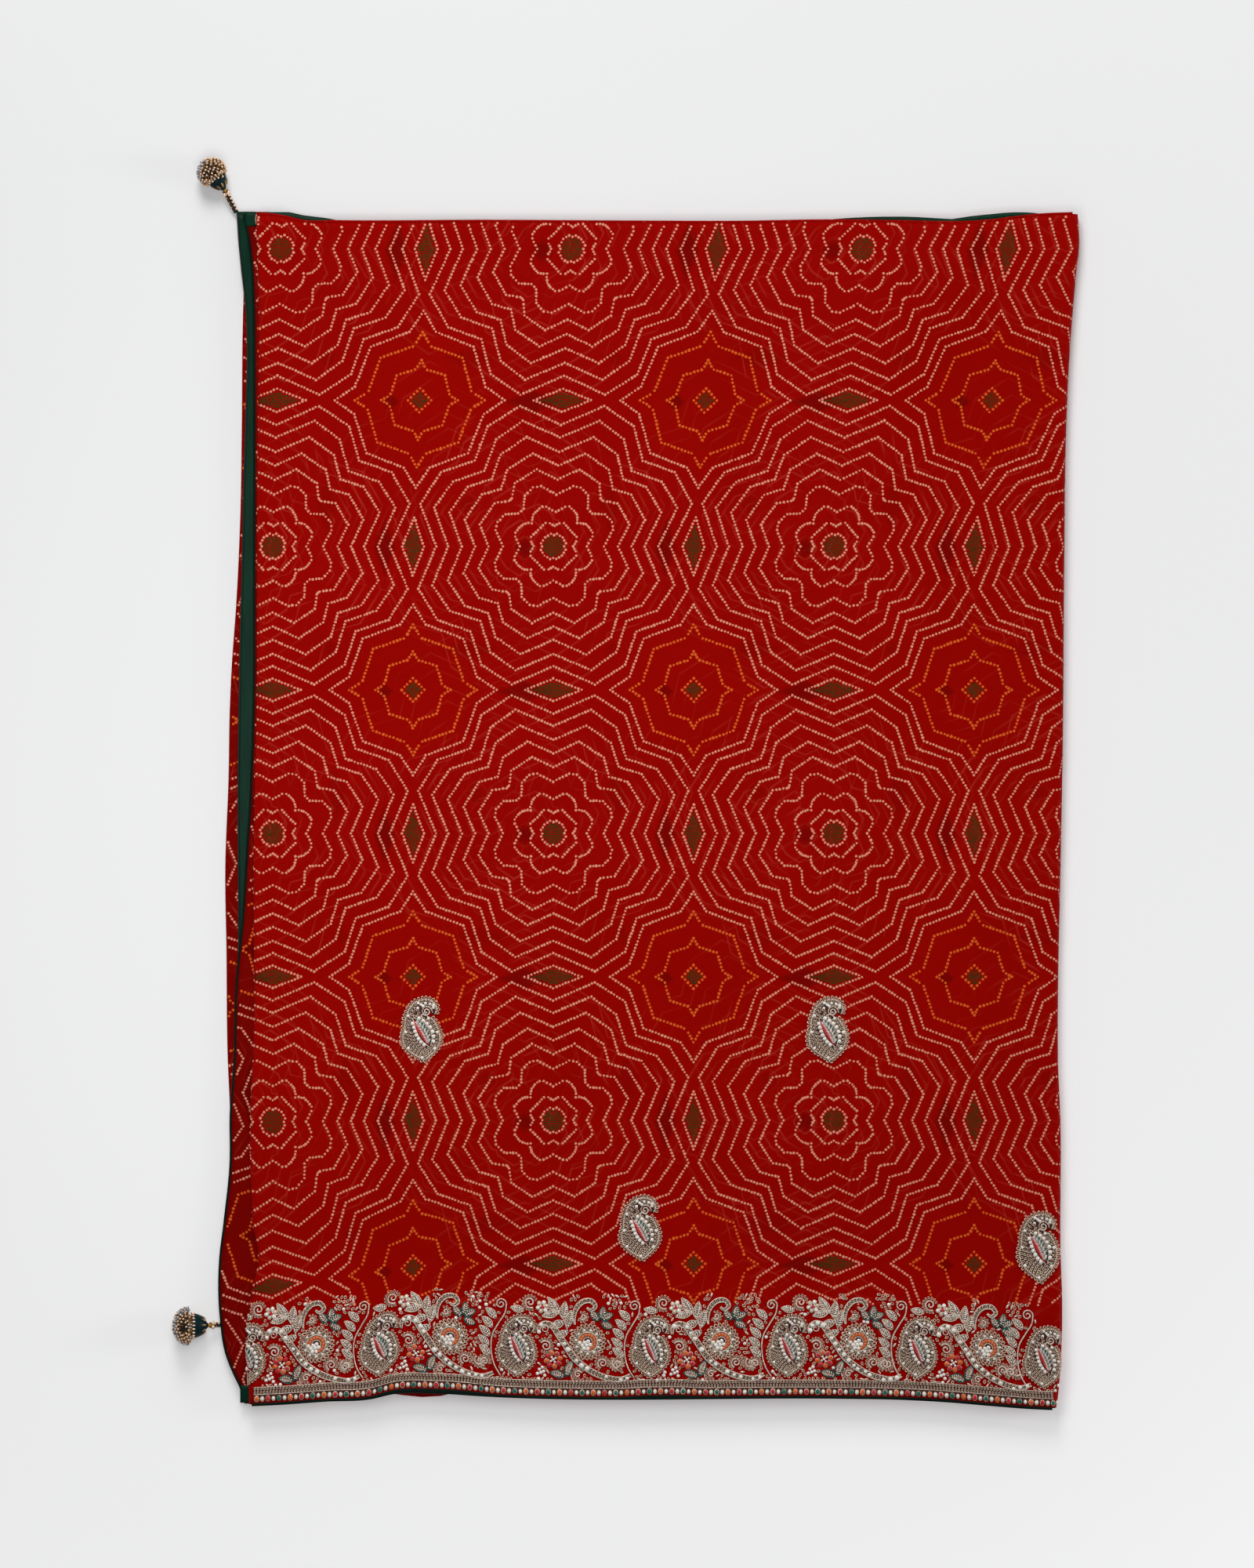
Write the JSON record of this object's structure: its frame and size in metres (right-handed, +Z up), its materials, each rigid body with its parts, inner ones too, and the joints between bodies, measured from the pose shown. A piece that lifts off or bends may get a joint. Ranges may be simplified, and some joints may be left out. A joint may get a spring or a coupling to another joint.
{
  "type": "folded bandhani saree",
  "caption": "Folded tie-dye saree laid flat, with metal-thread embroidered hem, scattered paisleys, green satin facing and corner tassels.",
  "frame": {"origin": "middle of the whole outline, on the surface that the folded cloth lies on", "axes": "+X to the folded edge on the right, +Y away from the embroidered hem, +Z up off the surface"},
  "size_m": [0.8512, 1.1772, 0.0291],
  "materials": {
    "georgette": "matte crepe-like silk georgette, printed in tied dots",
    "green_satin": "dark bottle-green satin facing and piping",
    "thread_work": "couched silver-rose metal coil, sequins and set stones",
    "gold_beads": "strung gold glass and metal beads"
  },
  "bodies": {
    "root": {"butti_1": "thread_work", "butti_2": "thread_work", "butti_3": "thread_work", "butti_4": "thread_work", "end_b_cord": "green_satin", "free_end_b": "georgette", "free_end_c": "georgette", "free_end_c_facing": "green_satin", "hem_band": "thread_work", "hem_bloom_1": "thread_work", "hem_bloom_2": "thread_work", "hem_bloom_3": "thread_work", "hem_bloom_4": "thread_work", "hem_bloom_5": "thread_work", "hem_bloom_6": "thread_work", "hem_cord_far": "georgette", "hem_cord_near": "green_satin", "hem_flower_1": "thread_work", "hem_flower_2": "thread_work", "hem_flower_3": "thread_work", "hem_flower_4": "thread_work", "hem_flower_5": "thread_work", "hem_flower_6": "thread_work", "hem_paisley_1": "thread_work", "hem_paisley_2": "thread_work", "hem_paisley_3": "thread_work", "hem_paisley_4": "thread_work", "hem_paisley_5": "thread_work", "hem_paisley_6": "thread_work", "hem_vine_1": "thread_work", "hem_vine_2": "thread_work", "hem_vine_3": "thread_work", "hem_vine_4": "thread_work", "hem_vine_5": "thread_work", "hem_vine_6": "thread_work", "hidden_layers": "georgette", "left_fold": "georgette", "tassel_far_cup": "green_satin", "tassel_far_head": "gold_beads", "tassel_far_neck": "gold_beads", "tassel_near_cup": "green_satin", "tassel_near_head": "gold_beads", "tassel_near_neck": "gold_beads", "top_stretch": "georgette", "underside": "georgette"}
  },
  "joints": []
}
